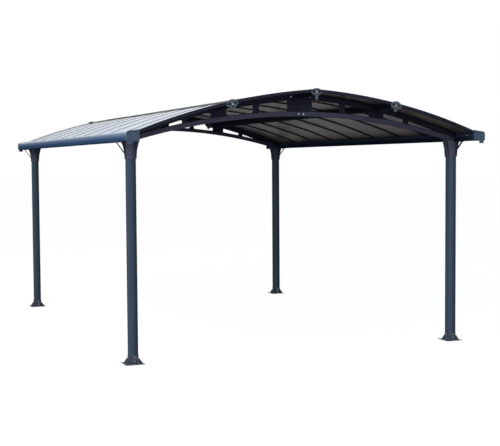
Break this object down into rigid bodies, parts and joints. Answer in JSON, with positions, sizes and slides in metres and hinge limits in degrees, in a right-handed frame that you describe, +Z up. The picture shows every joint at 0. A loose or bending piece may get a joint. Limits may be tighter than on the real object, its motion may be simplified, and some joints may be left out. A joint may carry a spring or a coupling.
{
  "type": "arched-roof gazebo",
  "caption": "Open free-standing gazebo: square posts on anchored feet carry eave gutters, arched trusses and purlins under a low curved roof of translucent multiwall sheets.",
  "frame": {"origin": "on the floor, at the middle of the plan; centre of the bottom of the bounding box", "axes": "+X across the span, +Y along the eaves from the near end to the far end, +Z up"},
  "size_m": [3.628, 5.02, 2.48],
  "materials": {
    "frame_paint": "satin powder coat, dark slate blue",
    "cap_plastic": "moulded, dark grey",
    "roof_sheet": "glossy translucent multiwall sheet, smoky bronze tint"
  },
  "bodies": {
    "root": {"near_left_post": "frame_paint", "near_right_post": "frame_paint", "far_left_post": "frame_paint", "far_right_post": "frame_paint", "near_left_foot": "frame_paint", "near_right_foot": "frame_paint", "far_left_foot": "frame_paint", "far_right_foot": "frame_paint", "near_left_head": "frame_paint", "near_right_head": "frame_paint", "far_left_head": "frame_paint", "far_right_head": "frame_paint", "left_gutter": "frame_paint", "right_gutter": "frame_paint", "near_left_gutter_cap": "cap_plastic", "near_right_gutter_cap": "cap_plastic", "far_left_gutter_cap": "cap_plastic", "far_right_gutter_cap": "cap_plastic", "left_purlin": "frame_paint", "ridge_purlin": "frame_paint", "right_purlin": "frame_paint", "near_left_purlin_cap": "cap_plastic", "near_ridge_cap": "cap_plastic", "near_right_purlin_cap": "cap_plastic", "far_left_purlin_cap": "cap_plastic", "far_ridge_cap": "cap_plastic", "far_right_purlin_cap": "cap_plastic", "near_truss_upper_chord": "frame_paint", "near_truss_lower_chord": "frame_paint", "near_truss_web": "frame_paint", "near_truss_splice": "frame_paint", "far_truss_upper_chord": "frame_paint", "far_truss_lower_chord": "frame_paint", "far_truss_web": "frame_paint", "far_truss_splice": "frame_paint", "near_edge_rafter": "frame_paint", "far_edge_rafter": "frame_paint", "left_lower_bars": "frame_paint", "left_upper_bars": "frame_paint", "right_upper_bars": "frame_paint", "right_lower_bars": "frame_paint", "left_lower_sheets": "roof_sheet", "left_upper_sheets": "roof_sheet", "right_upper_sheets": "roof_sheet", "right_lower_sheets": "roof_sheet"}
  },
  "joints": []
}
